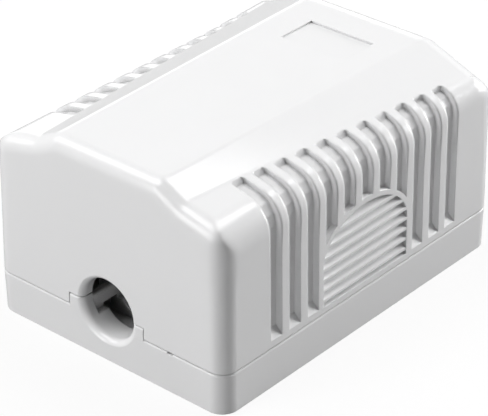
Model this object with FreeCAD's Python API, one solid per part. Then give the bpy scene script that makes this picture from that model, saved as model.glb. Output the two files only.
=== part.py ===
import FreeCAD, Part
import math
import os
from FreeCAD import Vector

# A one-port surface mount jack box: a moulded base that screws to the wall, a clip-on cover, and a
# circuit board with a modular jack and two punch-down blocks between them.
# X runs along the box, from the cable entry (-X) to the jack (+X). Z is up from the wall side.
# The origin is the middle of the underside. Sizes are in millimetres.

# ---- overall sizes ----
box_length = 66.0
box_width = 47.2
box_height = 35.05
corner_radius = 2.8
base_height = 7.0
seam_gap = 0.2
wall = 2.4
floor_thickness = 2.0
base_draft = 0.1
base_top_round = 0.35
cover_draft = 0.3
cable_end_lean = 0.4

# ---- the cover's section ----
plateau_inset_cable_end = 13.2
plateau_inset_jack_end = 11.8
plateau_edge_round = 2.0
foot_inset_cable_end = 8.9
foot_inset_jack_end = 2.8
shoulder_angle = 12.0
shoulder_drop = 4.2
foot_blend = 3.0
top_round = 2.5
side_round_full = 5.2
side_round_jack_end = 3.0
side_round_taper_x = 14.5
jack_end_round = 5.5

# ---- grooves down each long side ----
groove_count = 11
groove_pitch = 4.27
groove_first_short = 3
groove_last_short = 7
groove_mid_x = 0.2
groove_width = 2.6
groove_depth = 1.3
groove_top_depth = 0.9
groove_bottom = 8.35
groove_tip_run = 0.4
groove_tip_corner = 0.6

# ---- ribbed finger grips ----
grip_half_width = 10.2
grip_bottom = 8.25
grip_spring = 15.1
grip_arch_rise = 7.0
grip_depth = 1.2
grip_rib_pitch = 1.84
grip_rib_crest = 0.45
grip_rib_set_back = 0.1
grip_groove_margin = 0.9

# ---- label recess on the plateau ----
recess_x = 18.15
recess_y = -0.7
recess_length = 7.6
recess_width = 12.7
recess_depth = 0.35

# ---- cable entry ----
entry_height = 8.95
entry_radius = 5.1
entry_flare_base = 1.2
entry_flare_cover = 1.1
entry_tab_half_width = 7.6
entry_tab_gap = 0.15

# ---- lip, skirt and snaps ----
lip_height = 1.0
lip_gap = 0.15
skirt_thickness = 1.3
skirt_gap = 0.2
snap_x = 14.5
snap_width = 7.0
snap_thickness = 1.2
snap_stand_off = 0.25
snap_top = 13.4
snap_hook = 0.6
snap_hook_height = 2.0
snap_pocket_gap = 0.25
pry_notch_y = 12.9
pry_notch_width = 1.1
pry_notch_depth = 0.8
pry_notch_height = 0.3

# ---- cable channel ----
cheek_inner = 5.0
cheek_thickness = 1.4
cheek_length = 11.0
cheek_top = 8.5
tie_window_x = 6.1
tie_window_width = 3.0
tie_window_bottom = 3.0
tie_window_height = 3.2
saddle_top = 5.6

# ---- wall screws ----
screw_spacing_x = 45.0
screw_spacing_y = 33.6
screw_radius = 2.0
screw_head_radius = 3.6
screw_sink = 0.8

# ---- circuit board ----
board_length = 42.0
board_half_width = 13.0
board_thickness = 1.6
board_lift = 2.0
board_jack_gap = 0.6
post_radius = 1.6
post_inset = 2.6
clip_width = 5.0
clip_thickness = 1.2
clip_gap = 0.15
clip_bite = 0.5
clip_hook_height = 1.2
clip_x = 4.0

# ---- modular jack ----
jack_width = 15.9
jack_height = 13.2
jack_length = 17.6
jack_face_gap = 0.25
jack_round = 0.4
plug_width = 11.8
plug_height = 6.8
plug_depth = 12.6
plug_floor = 2.8
latch_width = 6.3
latch_height = 1.6
latch_slot_width = 3.4
latch_slot_height = 1.2
port_gap = 0.3
contact_count = 8
contact_pitch = 1.02
contact_size = 0.4
contact_bend = 0.5
contact_height = 0.85
contact_front = 1.4
contact_angle = 21.0
contact_spring = 7.8
contact_slot_gap = 0.12
contact_row_gap = 2.54
contact_rear = 2.2
contact_tail = 1.0
peg_radius = 1.6
peg_half_spacing = 5.7
peg_from_face = 8.9
peg_gap = 0.1

# ---- punch-down blocks ----
idc_positions = 4
idc_pitch = 3.8
idc_end_wall = 1.6
idc_width = 6.0
idc_height = 11.6
idc_foot = 4.6
idc_slot_width = 0.9
idc_taper = 1.0
idc_from_jack = 2.0
idc_half_spacing = 9.4
idc_clip_width = 3.0
idc_clip_thickness = 0.4
idc_clip_height = 9.4
idc_clip_slot = 0.5
idc_clip_slot_depth = 4.4
idc_clip_gap = 0.1
idc_pin_width = 0.8

# ---- places that follow from the sizes above ----
half_length = box_length / 2
half_width = box_width / 2
cover_bottom = base_height + seam_gap
shoulder_height = box_height - shoulder_drop
inner_x = half_length - wall
inner_y = half_width - wall
board_bottom = floor_thickness + board_lift
board_top = board_bottom + board_thickness
board_right = inner_x - board_jack_gap
board_left = board_right - board_length
jack_face = half_length - jack_face_gap
jack_back = jack_face - jack_length
jack_top = board_top + jack_height
plug_bottom = board_top + plug_floor
idc_length = idc_positions * idc_pitch + 2 * idc_end_wall
idc_right = jack_back - idc_from_jack
idc_left = idc_right - idc_length


def box(x0, x1, y0, y1, z0, z1):
    """A box between three pairs of planes."""
    return Part.makeBox(x1 - x0, y1 - y0, z1 - z0, Vector(x0, y0, z0))


def prism(points, direction):
    """A closed polygon pushed along a direction."""
    wire = Part.makePolygon([Vector(*p) for p in points] + [Vector(*points[0])])
    return Part.Face(wire).extrude(Vector(*direction))


def rounded_plan(half_x, half_y, radius, z):
    """A rounded rectangle as a wire at one height."""
    plane = Part.makePlane(2 * half_x, 2 * half_y, Vector(-half_x, -half_y, z))
    block = plane.extrude(Vector(0, 0, 1))
    uprights = [e for e in block.Edges if abs(e.tangentAt(e.FirstParameter).z) > 0.99]
    block = block.makeFillet(radius, uprights)
    low = [f for f in block.Faces if f.BoundBox.ZMax < z + 1e-6]
    return low[0].OuterWire


def rounded_block(half_x, half_y, radius, z0, z1):
    """An upright block with rounded corners."""
    return Part.Face(rounded_plan(half_x, half_y, radius, z0)).extrude(Vector(0, 0, z1 - z0))


def mirrored(shape):
    """The same shape on the other side of the box."""
    return shape.mirror(Vector(0, 0, 0), Vector(0, 1, 0))


def blend(corner, before, after, radius):
    """Tangent points and middle of the arc that rounds a corner of a section."""
    a = (before - corner).normalize()
    b = (after - corner).normalize()
    half_angle = a.getAngle(b) / 2
    reach = radius / math.tan(half_angle)
    bisector = (a + b).normalize()
    centre = corner + bisector * (radius / math.sin(half_angle))
    return corner + a * reach, centre - bisector * radius, corner + b * reach


def shoulder_z(y):
    """Height of the flat part of the shoulder, before its edge is rounded."""
    return shoulder_height + math.tan(math.radians(shoulder_angle)) * (half_width - y)


def along(x, at_cable_end, at_jack_end):
    """A value that changes evenly from the cable end of the box to the jack end."""
    return at_cable_end + (at_jack_end - at_cable_end) * (x + half_length) / box_length


def foot_y(x):
    """Distance from the middle to the crease where the slope meets the shoulder."""
    return half_width - along(x, foot_inset_cable_end, foot_inset_jack_end)


def end_plane(x, y, z):
    """A point of the cover's section at one end; at the cable end it moves in with height."""
    rise = (z - cover_bottom) / (box_height - cover_bottom)
    return Vector(max(x, cable_end_lean * rise - half_length), y, z)


def section_points(x, at_x):
    """Corners and arc points of the +Y half of the cover's section at one x, drawn at another."""
    plateau_half = half_width - along(x, plateau_inset_cable_end, plateau_inset_jack_end)
    top_y = half_width - cover_draft
    edge = end_plane(at_x, plateau_half, box_height)
    foot = end_plane(at_x, foot_y(x), shoulder_z(foot_y(x)))
    top = end_plane(at_x, top_y, shoulder_z(top_y))
    low = end_plane(at_x, half_width, cover_bottom)
    crown = blend(edge, end_plane(at_x, 0, box_height), foot, plateau_edge_round)
    crease = blend(foot, edge, top, foot_blend)
    return [low, top, crease[2], crease[1], crease[0], crown[2], crown[1], crown[0]]


def top_outline(points):
    """From the shoulder to the plateau: a line, the crease's arc, the slope, and the crown's arc."""
    edges = [Part.makeLine(points[0], points[1])]
    edges.append(Part.Arc(points[1], points[2], points[3]).toShape())
    edges.append(Part.makeLine(points[3], points[4]))
    edges.append(Part.Arc(points[4], points[5], points[6]).toShape())
    return edges


def cover_section(x):
    """The cover's outer section across the box at one end, in the plane of the end wall."""
    right = section_points(x, x)
    left = [Vector(p.x, -p.y, p.z) for p in right]
    edges = [Part.makeLine(right[0], right[1])] + top_outline(right[1:])
    edges.append(Part.makeLine(right[-1], left[-1]))
    edges += top_outline(left[1:])
    edges.append(Part.makeLine(left[1], left[0]))
    edges.append(Part.makeLine(left[0], right[0]))
    return Part.Wire(Part.__sortEdges__(edges))


def edges_between(shape, z_low, z_high):
    """Edges that lie wholly between two heights."""
    return [e for e in shape.Edges if e.BoundBox.ZMin > z_low and e.BoundBox.ZMax < z_high]


def upright_edges(shape, z_low):
    """Edges that start at one height and climb the four corners of a box."""
    found = []
    for edge in shape.Edges:
        bounds = edge.BoundBox
        if abs(bounds.ZMin - z_low) < 0.01 and bounds.ZLength > 1:
            found.append(edge)
    return found


def cover_outside():
    """The cover as a solid lump with all its outer edges rounded."""
    lump = Part.makeLoft([cover_section(-half_length), cover_section(half_length)], True, True)
    lump = lump.makeFillet(corner_radius, upright_edges(lump, cover_bottom))
    rim = []
    for edge in edges_between(lump, cover_bottom + 1, box_height + 1):
        bounds = edge.BoundBox
        end_x = half_length - corner_radius - 0.01
        on_end = bounds.XMin > end_x or bounds.XMax < -end_x
        on_side = min(abs(bounds.YMin), abs(bounds.YMax)) > half_width - cover_draft - 0.05
        if on_end or on_side:
            rim.append(edge)
    lump = lump.makeFillet(top_round, rim)
    side = side_rounding()
    return lump.cut([side, mirrored(side), jack_end_rounding()])


def side_round(x):
    """Radius of the rounding between the side wall and the shoulder; it shrinks with the shoulder."""
    share = max(0.0, (x - side_round_taper_x) / (half_length - side_round_taper_x))
    return side_round_full + (side_round_jack_end - side_round_full) * share


def side_blend(x, at_x):
    """Ends and middle of the arc of the side rounding as it is at one x, drawn at another."""
    top_y = half_width - cover_draft
    corner = Vector(at_x, top_y, shoulder_z(top_y))
    low = Vector(at_x, half_width, cover_bottom)
    return blend(corner, low, Vector(at_x, 0, shoulder_z(0)), side_round(x))


def side_rounding():
    """What the rounding along the top of the +Y wall takes away."""
    profiles = []
    outside = half_width + 1
    for x in (-half_length, side_round_taper_x, half_length):
        a, middle, b = side_blend(x, x)
        corners = [a, Vector(x, outside, a.z), Vector(x, outside, box_height), Vector(x, b.y, box_height), b]
        edges = [Part.makeLine(p, q) for p, q in zip(corners, corners[1:])]
        profiles.append(Part.Wire([Part.Arc(b, middle, a).toShape()] + edges))
    return Part.makeLoft(profiles, True, True)


def jack_end_rounding():
    """What the large rounding at the jack end takes away: the end section, sunk along an arc."""
    start_x = half_length - jack_end_round
    right = section_points(half_length, start_x)
    a, middle, b = side_blend(half_length, start_x)
    right = [b] + right[2:]
    left = [Vector(p.x, -p.y, p.z) for p in right]
    outside = half_width + 1
    above = box_height + jack_end_round + 1
    sky = [a, Vector(start_x, outside, a.z), Vector(start_x, outside, above)]
    sky += [Vector(start_x, -outside, above), Vector(start_x, -outside, a.z)]
    sky.append(Vector(start_x, -a.y, a.z))
    edges = [Part.makeLine(p, q) for p, q in zip(sky, sky[1:])]
    for y in (1, -1):
        points = [Vector(p.x, y * p.y, p.z) for p in (a, middle, b)]
        edges.append(Part.Arc(*points).toShape())
    edges += top_outline(left)
    edges.append(Part.makeLine(left[-1], right[-1]))
    edges += top_outline(right)
    start = Vector(start_x, 0, box_height)
    diagonal = jack_end_round * math.sqrt(0.5)
    half_way = start + Vector(diagonal, 0, diagonal - jack_end_round)
    arc = Part.Arc(start, half_way, start + Vector(jack_end_round, 0, -jack_end_round)).toShape()
    sweep = Part.BRepOffsetAPI.MakePipeShell(Part.Wire([arc]))
    sweep.setTrihedronMode(Vector(0, 0, 0), Vector(1, 0, 0))
    sweep.add(Part.Wire(Part.__sortEdges__(edges)))
    sweep.build()
    sweep.makeSolid()
    return sweep.shape()


def groove_cutter(index):
    """The hollow of one groove: up the wall and over the rounded shoulder to the foot of the slope."""
    x = groove_mid_x + (index - (groove_count - 1) / 2) * groove_pitch
    half = groove_width / 2
    tip_y = foot_y(x)
    floor_y = half_width - groove_depth
    bend = side_round(x) - (groove_depth + groove_top_depth) / 2
    drop = (groove_top_depth + bend) / math.cos(math.radians(shoulder_angle))
    bend_z = shoulder_z(floor_y - bend) - drop
    outside = half_width + 1
    above = box_height + 1
    points = [(outside, groove_bottom - 1), (floor_y, groove_bottom + groove_depth)]
    for step in range(4):
        turn = math.radians(90 - shoulder_angle) * step / 3
        points.append((floor_y - bend + bend * math.cos(turn), bend_z + bend * math.sin(turn)))
    deep_y = tip_y + groove_tip_run
    if deep_y < points[-1][0] - 0.1:
        points.append((deep_y, shoulder_z(deep_y) - groove_top_depth))
    points.append((tip_y, shoulder_z(tip_y)))
    points += [(tip_y - 0.2, above), (outside, above)]
    cutter = prism([(x - half, y, z) for y, z in points], (groove_width, 0, 0))
    plan = box(x - half, x + half, tip_y, outside + 1, 0, above + 1)
    corners = [e for e in plan.Edges if e.BoundBox.ZLength > 1 and e.BoundBox.YMax < tip_y + 0.01]
    cutter = cutter.common(plan.makeFillet(groove_tip_corner, corners))
    if groove_first_short <= index <= groove_last_short:
        cutter = cutter.cut(arch_block(grip_groove_margin, groove_depth + 1))
    return cutter


def arch_block(margin, depth):
    """The arch of the finger grip as a block through the +Y wall, from its floor outwards."""
    a = grip_half_width + margin
    b = grip_arch_rise + margin
    ellipse = Part.Ellipse(Vector(0, grip_spring, 0), max(a, b), min(a, b))
    arch = Part.ArcOfEllipse(ellipse, 0, math.pi).toShape()
    low = grip_bottom - margin
    left = Part.makeLine(Vector(-a, grip_spring, 0), Vector(-a, low, 0))
    bottom = Part.makeLine(Vector(-a, low, 0), Vector(a, low, 0))
    right = Part.makeLine(Vector(a, low, 0), Vector(a, grip_spring, 0))
    block = Part.Face(Part.Wire([arch, left, bottom, right])).extrude(Vector(0, 0, depth + 1))
    block.rotate(Vector(0, 0, 0), Vector(1, 0, 0), 90)
    block.translate(Vector(0, half_width + 1, 0))
    return block


def grip_cutter():
    """The hollow of one ribbed finger grip."""
    top = grip_spring + grip_arch_rise
    floor_y = half_width - grip_depth
    crest_y = half_width - grip_rib_set_back
    points = [(half_width + 1, grip_bottom)]
    z = grip_bottom
    flank = (grip_rib_pitch - grip_rib_crest) / 2
    points.append((floor_y, grip_bottom))
    while z + grip_rib_pitch < top:
        points.append((crest_y, z + flank))
        points.append((crest_y, z + flank + grip_rib_crest))
        z = z + grip_rib_pitch
        points.append((floor_y, z))
    points.append((floor_y, top + 1))
    points.append((half_width + 1, top + 1))
    a = grip_half_width
    ribs = prism([(-a, y, z) for y, z in points], (2 * a, 0, 0))
    return ribs.common(arch_block(0.0, grip_depth))


def entry_hole(flare):
    """The round cable hole with its flared mouth at the cable end."""
    outer_x = -half_length
    straight = Part.makeCylinder(entry_radius, wall + 2, Vector(outer_x - 1, 0, 0), Vector(1, 0, 0))
    centre = Vector(outer_x + flare, entry_radius + flare, 0)
    start = centre - Vector(flare, 0, 0)
    end = centre - Vector(0, flare, 0)
    diagonal = flare * math.sqrt(0.5)
    arc = Part.Arc(start, centre - Vector(diagonal, diagonal, 0), end).toShape()
    lines = [Part.makeLine(end, Vector(end.x, 0, 0))]
    lines.append(Part.makeLine(Vector(end.x, 0, 0), Vector(outer_x, 0, 0)))
    lines.append(Part.makeLine(Vector(outer_x, 0, 0), start))
    mouth = Part.Face(Part.Wire([arc] + lines)).revolve(Vector(0, 0, 0), Vector(1, 0, 0), 360)
    hole = straight.fuse(mouth)
    hole.translate(Vector(0, 0, entry_height))
    return hole


def snap_pocket(x):
    """The hollow in the cover's +Y wall that a snap tongue's hook drops into."""
    half = snap_width / 2 + snap_pocket_gap
    tip_y = inner_y - snap_stand_off + snap_hook
    low = snap_top - snap_hook_height - snap_pocket_gap
    high = snap_top + snap_pocket_gap
    return box(x - half, x + half, inner_y - 1, tip_y + snap_pocket_gap, low, high)


def cover_hollow():
    """The room inside the cover, with the corners under the shoulders rounded."""
    ends = []
    for x in (-half_length, half_length):
        end = cover_section(x).makeOffset2D(-wall)
        end.translate(Vector(-math.copysign(wall, x), 0, 0))
        ends.append(end)
    hollow = Part.makeLoft(ends, True, True)
    corners = []
    for edge in hollow.Edges:
        bounds = edge.BoundBox
        out = min(abs(bounds.YMin), abs(bounds.YMax)) > inner_y - cover_draft - 0.01
        if out and bounds.XLength > box_length / 2 and bounds.ZMin > cover_bottom + 2 * wall:
            corners.append(edge)
    hollow = hollow.makeFillet(side_round_full - wall, corners)
    spring = cover_bottom + 2 * wall
    return hollow.fuse(box(-inner_x, inner_x, -inner_y, inner_y, cover_bottom - 1, spring))


def cover():
    """The clip-on cover."""
    body = cover_outside().cut(cover_hollow())
    reach = corner_radius - skirt_thickness
    rebate_top = base_height + lip_height + skirt_gap
    rebate = rounded_block(half_length - skirt_thickness, half_width - skirt_thickness, reach,
                           cover_bottom - 1, rebate_top)
    tools = [rebate]
    port_half = jack_width / 2 + port_gap
    tools.append(box(inner_x - 1, half_length + 1, -port_half, port_half, 0, jack_top + port_gap))
    tab_half = entry_tab_half_width + entry_tab_gap
    tools.append(box(-half_length - 1, 1 - inner_x, -tab_half, tab_half, 0, entry_height + seam_gap))
    tools.append(entry_hole(entry_flare_cover))
    recess = box(recess_x - recess_length / 2, recess_x + recess_length / 2, recess_y - recess_width / 2,
                 recess_y + recess_width / 2, box_height - recess_depth, box_height + 1)
    tools.append(recess)
    for index in range(groove_count):
        groove = groove_cutter(index)
        tools += [groove, mirrored(groove)]
    grip = grip_cutter()
    tools += [grip, mirrored(grip)]
    for x in (-snap_x, snap_x):
        pocket = snap_pocket(x)
        tools += [pocket, mirrored(pocket)]
    return body.cut(tools)


def snap_tongue(x):
    """A springy tongue that stands on the floor near the +Y wall, with a hook facing the cover."""
    outer = inner_y - snap_stand_off
    inner = outer - snap_thickness
    hook_low = snap_top - snap_hook_height
    tip = outer + snap_hook
    points = [(inner, floor_thickness - 0.5), (outer, floor_thickness - 0.5), (outer, hook_low)]
    points += [(tip, hook_low + 0.2), (tip, hook_low + snap_hook), (outer, snap_top), (inner, snap_top)]
    return prism([(x - snap_width / 2, y, z) for y, z in points], (snap_width, 0, 0))


def board_clip(x):
    """A hooked arm that holds the circuit board's +Y edge down on its posts."""
    inner = board_half_width + clip_gap
    outer = inner + clip_thickness
    hook_low = board_top + clip_gap / 2
    top = hook_low + clip_hook_height
    tip = board_half_width - clip_bite
    points = [(inner, floor_thickness - 0.5), (outer, floor_thickness - 0.5), (outer, top), (inner, top)]
    points += [(tip, hook_low + 0.3), (tip, hook_low), (inner, hook_low)]
    return prism([(x - clip_width / 2, y, z) for y, z in points], (clip_width, 0, 0))


def cable_cheek():
    """The upright wall on the +Y side of the cable channel, with its window for a cable tie."""
    x0 = 1 - half_length
    x1 = cheek_length - inner_x
    cheek = box(x0, x1, cheek_inner, cheek_inner + cheek_thickness, floor_thickness - 0.5, cheek_top)
    top = [e for e in edges_between(cheek, cheek_top - 0.1, cheek_top + 0.1) if e.BoundBox.XLength > 1]
    cheek = cheek.makeFillet(cheek_thickness * 0.3, top)
    mid = tie_window_x - half_length
    half = tie_window_width / 2
    window = box(mid - half, mid + half, cheek_inner - 1, cheek_inner + cheek_thickness + 1,
                 tie_window_bottom, tie_window_bottom + tie_window_height)
    return cheek.cut(window)


def base_shell():
    """The drafted tray of the base with its lip and the raised tabs of the cable entry."""
    low = rounded_plan(half_length - base_draft, half_width - base_draft, corner_radius, 0)
    high = rounded_plan(half_length, half_width, corner_radius, base_height)
    tray = Part.makeLoft([low, high], True, True)
    tray = tray.makeFillet(base_top_round, edges_between(tray, base_height - 0.1, base_height + 0.1))
    lip_x = half_length - skirt_thickness - lip_gap
    lip_y = half_width - skirt_thickness - lip_gap
    lip_radius = corner_radius - skirt_thickness - lip_gap
    lip = rounded_block(lip_x, lip_y, lip_radius, floor_thickness, base_height + lip_height)
    tab_low = base_height - base_top_round
    tab = box(-half_length, -inner_x, -entry_tab_half_width, entry_tab_half_width, tab_low, entry_height)
    rim = edges_between(tab, entry_height - 0.1, entry_height + 0.1)
    tab = tab.makeFillet(base_top_round, [e for e in rim if e.BoundBox.XMax < 0.1 - half_length])
    outside = tray.fuse(lip)
    tab_half = entry_tab_half_width + entry_tab_gap
    clear = box(-half_length - 1, -inner_x, -tab_half, tab_half, base_height, box_height)
    outside = outside.cut(clear).fuse(tab)
    hollow = rounded_block(inner_x, inner_y, corner_radius - wall + 0.8, floor_thickness, box_height)
    return outside.cut(hollow)


def base():
    """The base that screws to the wall."""
    body = base_shell()
    saddle = box(0.5 - inner_x - 1, cheek_length - inner_x, -cheek_inner - 0.5, cheek_inner + 0.5,
                 floor_thickness - 0.5, saddle_top)
    mid = tie_window_x - half_length
    half = tie_window_width / 2
    saddle = saddle.cut(box(mid - half, mid + half, -cheek_inner - 1, cheek_inner + 1,
                            tie_window_bottom, saddle_top + 1))
    start = Vector(-box_length, 0, entry_height)
    trough = Part.makeCylinder(entry_radius, box_length, start, Vector(1, 0, 0))
    saddle = saddle.cut(trough)
    cheek = cable_cheek()
    parts = [saddle, cheek, mirrored(cheek)]
    for x in (board_left + post_inset, board_right - post_inset):
        for y in (-1, 1):
            foot = Vector(x, y * (board_half_width - post_inset), floor_thickness - 0.5)
            parts.append(Part.makeCylinder(post_radius, board_bottom - foot.z, foot))
    for x in (-snap_x, snap_x):
        tongue = snap_tongue(x)
        parts += [tongue, mirrored(tongue)]
    clip = board_clip(clip_x)
    parts += [clip, mirrored(clip)]
    body = body.fuse(parts)
    tools = [entry_hole(entry_flare_base)]
    port_half = jack_width / 2 + port_gap
    tools.append(box(inner_x - 1, half_length + 1, -port_half, port_half, board_top - port_gap, box_height))
    notch_half = pry_notch_width / 2
    tools.append(box(-half_length - 1, pry_notch_depth - half_length, -pry_notch_y - notch_half,
                     notch_half - pry_notch_y, base_height - pry_notch_height, base_height + seam_gap))
    for x in (-screw_spacing_x / 2, screw_spacing_x / 2):
        for y in (-screw_spacing_y / 2, screw_spacing_y / 2):
            tools.append(Part.makeCylinder(screw_radius, floor_thickness + 2, Vector(x, y, -1)))
            tools.append(Part.makeCylinder(screw_head_radius, 5, Vector(x, y, floor_thickness - screw_sink)))
    return body.cut(tools).removeSplitter()


def pin_x(index):
    """Where along X the tail of one jack contact enters the board: two staggered rows."""
    return jack_back + contact_rear + (index % 2) * contact_row_gap


def contact_y(index):
    """Where across the jack one contact lies."""
    return (index - (contact_count - 1) / 2) * contact_pitch


def jack_contact(index):
    """One sprung wire: a tail through the board, a run under the plug, and a spring back up."""
    y = contact_y(index)
    x = pin_x(index)
    run_z = board_top + contact_height
    front_x = jack_face - contact_front
    bend = contact_bend
    angle = math.radians(contact_angle)
    tail = Vector(x, y, board_bottom - contact_tail)
    rise = Vector(x, y, run_z - bend)
    run = Vector(x + bend, y, run_z)
    corner = bend * math.sqrt(0.5)
    first = Vector(x + bend - corner, y, run_z - bend + corner)
    turn = Vector(front_x - bend, y, run_z)
    top = Vector(turn.x + bend * math.sin(angle), y, run_z + bend + bend * math.cos(angle))
    middle_angle = (math.pi / 2 - angle) / 2 - math.pi / 4
    middle = Vector(turn.x + bend * math.cos(middle_angle), y, run_z + bend + bend * math.sin(middle_angle))
    end = top + Vector(-math.cos(angle), 0, math.sin(angle)) * contact_spring
    edges = [Part.makeLine(tail, rise), Part.Arc(rise, first, run).toShape(), Part.makeLine(run, turn)]
    edges += [Part.Arc(turn, middle, top).toShape(), Part.makeLine(top, end)]
    path = Part.Wire(edges)
    half = contact_size / 2
    corners = [(x - half, y - half), (x + half, y - half), (x + half, y + half), (x - half, y + half)]
    section = Part.makePolygon([Vector(a, b, tail.z) for a, b in corners + corners[:1]])
    return path.makePipeShell([section], True, True)


def jack_housing():
    """The moulded body of the modular jack."""
    half = jack_width / 2
    body = box(jack_back, jack_face, -half, half, board_top, jack_top)
    round_edges = [e for e in body.Edges if e.BoundBox.ZMax > board_top + 0.1]
    body = body.makeFillet(jack_round, round_edges)
    plug_half = plug_width / 2
    plug_back = jack_face - plug_depth
    plug_top = plug_bottom + plug_height
    out = jack_face + 1
    tools = [box(plug_back, out, -plug_half, plug_half, plug_bottom, plug_top)]
    latch_half = latch_width / 2
    tools.append(box(plug_back, out, -latch_half, latch_half, plug_top - 0.1, plug_top + latch_height))
    slot_top = plug_top + latch_height + latch_slot_height
    tools.append(box(plug_back, out, -latch_slot_width / 2, latch_slot_width / 2, plug_top, slot_top))
    pocket_half = contact_count * contact_pitch / 2
    pocket_front = jack_face - contact_front + contact_size / 2 + contact_slot_gap
    run_low = board_top + contact_height - contact_size / 2
    tools.append(box(plug_back, pocket_front, -pocket_half, pocket_half, run_low, plug_bottom + 0.1))
    slot = contact_size / 2 + contact_slot_gap
    for index in range(contact_count):
        x = pin_x(index)
        y = contact_y(index)
        run_z = board_top + contact_height
        tools.append(box(x - slot, plug_back + 0.1, y - slot, y + slot, run_low, run_z + slot))
        tools.append(box(x - slot, x + slot + contact_bend, y - slot, y + slot, board_top - 1, run_z))
    pegs = []
    for y in (-peg_half_spacing, peg_half_spacing):
        foot = Vector(jack_face - peg_from_face, y, board_bottom)
        pegs.append(Part.makeCylinder(peg_radius, board_thickness + 0.5, foot))
    return body.cut(tools).fuse(pegs)


def idc_clip_x(position):
    """Where along X one wire position of a punch-down block lies."""
    return idc_left + idc_end_wall + (position + 0.5) * idc_pitch


def idc_block(y):
    """One punch-down block: a foot with slotted towers that guide the wires onto the clips."""
    half = idc_width / 2
    top = board_top + idc_height
    shoulder = top - 2 * idc_taper
    section = [(y - half, board_top), (y + half, board_top), (y + half, shoulder)]
    section += [(y + half - idc_taper, top), (y - half + idc_taper, top), (y - half, shoulder)]
    block = prism([(idc_left, a, b) for a, b in section], (idc_length, 0, 0))
    tools = []
    for position in range(idc_positions):
        x = idc_clip_x(position)
        slot = idc_slot_width / 2
        foot = board_top + idc_foot
        flare = top - idc_taper
        mouth = slot + idc_taper / 2
        points = [(x - slot, foot), (x + slot, foot), (x + slot, flare), (x + mouth, top + 0.01)]
        points += [(x - mouth, top + 0.01), (x - slot, flare)]
        tools.append(prism([(a, y - half - 1, b) for a, b in points], (0, idc_width + 2, 0)))
        wide = idc_clip_width / 2 + idc_clip_gap
        thick = idc_clip_thickness / 2 + idc_clip_gap
        low = board_top + idc_clip_gap
        tools.append(box(x - wide, x + wide, y - thick, y + thick, low + 1, top + 1))
        pin = idc_pin_width / 2 + idc_clip_gap
        tools.append(box(x - pin, x + pin, y - thick, y + thick, board_top - 1, top))
    return block.cut(tools)


def idc_clip(position, y):
    """One slotted clip of a punch-down block, with its pin through the board."""
    x = idc_clip_x(position)
    low = board_top + 1 + 2 * idc_clip_gap
    top = board_top + idc_clip_height
    half = idc_clip_width / 2
    pin = idc_pin_width / 2
    slot = idc_clip_slot / 2
    slot_low = top - idc_clip_slot_depth
    tail = board_bottom - contact_tail
    points = [(x - pin, tail), (x + pin, tail), (x + pin, low), (x + half, low), (x + half, top)]
    points += [(x + slot + 0.5, top), (x + slot, top - 0.8), (x + slot, slot_low), (x - slot, slot_low)]
    points += [(x - slot, top - 0.8), (x - slot - 0.5, top), (x - half, top), (x - half, low), (x - pin, low)]
    thick = idc_clip_thickness
    return prism([(a, y - thick / 2, b) for a, b in points], (0, thick, 0))


def circuit_board():
    """The circuit board that carries the jack and the punch-down blocks."""
    body = box(board_left, board_right, -board_half_width, board_half_width, board_bottom, board_top)
    low = board_bottom - 1
    deep = board_thickness + 2
    tools = []
    for index in range(contact_count):
        foot = Vector(pin_x(index), contact_y(index), low)
        tools.append(Part.makeCylinder(contact_size * 0.8, deep, foot))
    for y in (-peg_half_spacing, peg_half_spacing):
        tools.append(Part.makeCylinder(peg_radius + peg_gap, deep, Vector(jack_face - peg_from_face, y, low)))
    for position in range(idc_positions):
        for y in (-idc_half_spacing, idc_half_spacing):
            tools.append(Part.makeCylinder(idc_pin_width * 0.65, deep, Vector(idc_clip_x(position), y, low)))
    return body.cut(tools)


def main():
    nodes = {"base": base(), "cover": cover(), "circuit_board": circuit_board()}
    nodes["jack_housing"] = jack_housing()
    for index in range(contact_count):
        nodes["jack_contact_" + str(index + 1)] = jack_contact(index)
    nodes["idc_block_left"] = idc_block(idc_half_spacing)
    nodes["idc_block_right"] = idc_block(-idc_half_spacing)
    for position in range(idc_positions):
        nodes["idc_clip_" + str(position + 1)] = idc_clip(position, idc_half_spacing)
        other = position + idc_positions
        nodes["idc_clip_" + str(other + 1)] = idc_clip(position, -idc_half_spacing)
    os.makedirs("parts", exist_ok=True)
    for name, shape in nodes.items():
        shape.exportStep("parts/" + name + ".step")


if __name__ == "__main__":
    main()
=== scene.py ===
import math
from functools import partial

import bpy
from bpy.props import FloatProperty, FloatVectorProperty, PointerProperty
from mathutils import Matrix, Vector


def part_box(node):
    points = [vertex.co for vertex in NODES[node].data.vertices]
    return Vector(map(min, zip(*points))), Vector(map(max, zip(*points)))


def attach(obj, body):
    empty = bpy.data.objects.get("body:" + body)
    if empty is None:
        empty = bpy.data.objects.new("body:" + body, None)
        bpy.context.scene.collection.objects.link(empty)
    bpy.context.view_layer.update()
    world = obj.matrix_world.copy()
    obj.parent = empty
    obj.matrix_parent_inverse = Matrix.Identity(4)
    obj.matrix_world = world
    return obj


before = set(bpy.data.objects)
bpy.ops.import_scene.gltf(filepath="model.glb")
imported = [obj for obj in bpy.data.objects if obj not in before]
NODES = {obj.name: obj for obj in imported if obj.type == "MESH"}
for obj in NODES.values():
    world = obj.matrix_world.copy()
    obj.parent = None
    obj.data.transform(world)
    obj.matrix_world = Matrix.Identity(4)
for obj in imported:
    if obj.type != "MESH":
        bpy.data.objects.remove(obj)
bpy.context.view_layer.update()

bl_info = {
    "name": "Surface mount jack box",
    "version": (1, 0, 0),
    "blender": (4, 5, 0),
    "location": "View3D > Sidebar > Jack box",
    "description": "Finishes, board details, mould marks and a stage for a surface mount jack box",
    "category": "Object",
}

MM = 0.001

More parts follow.
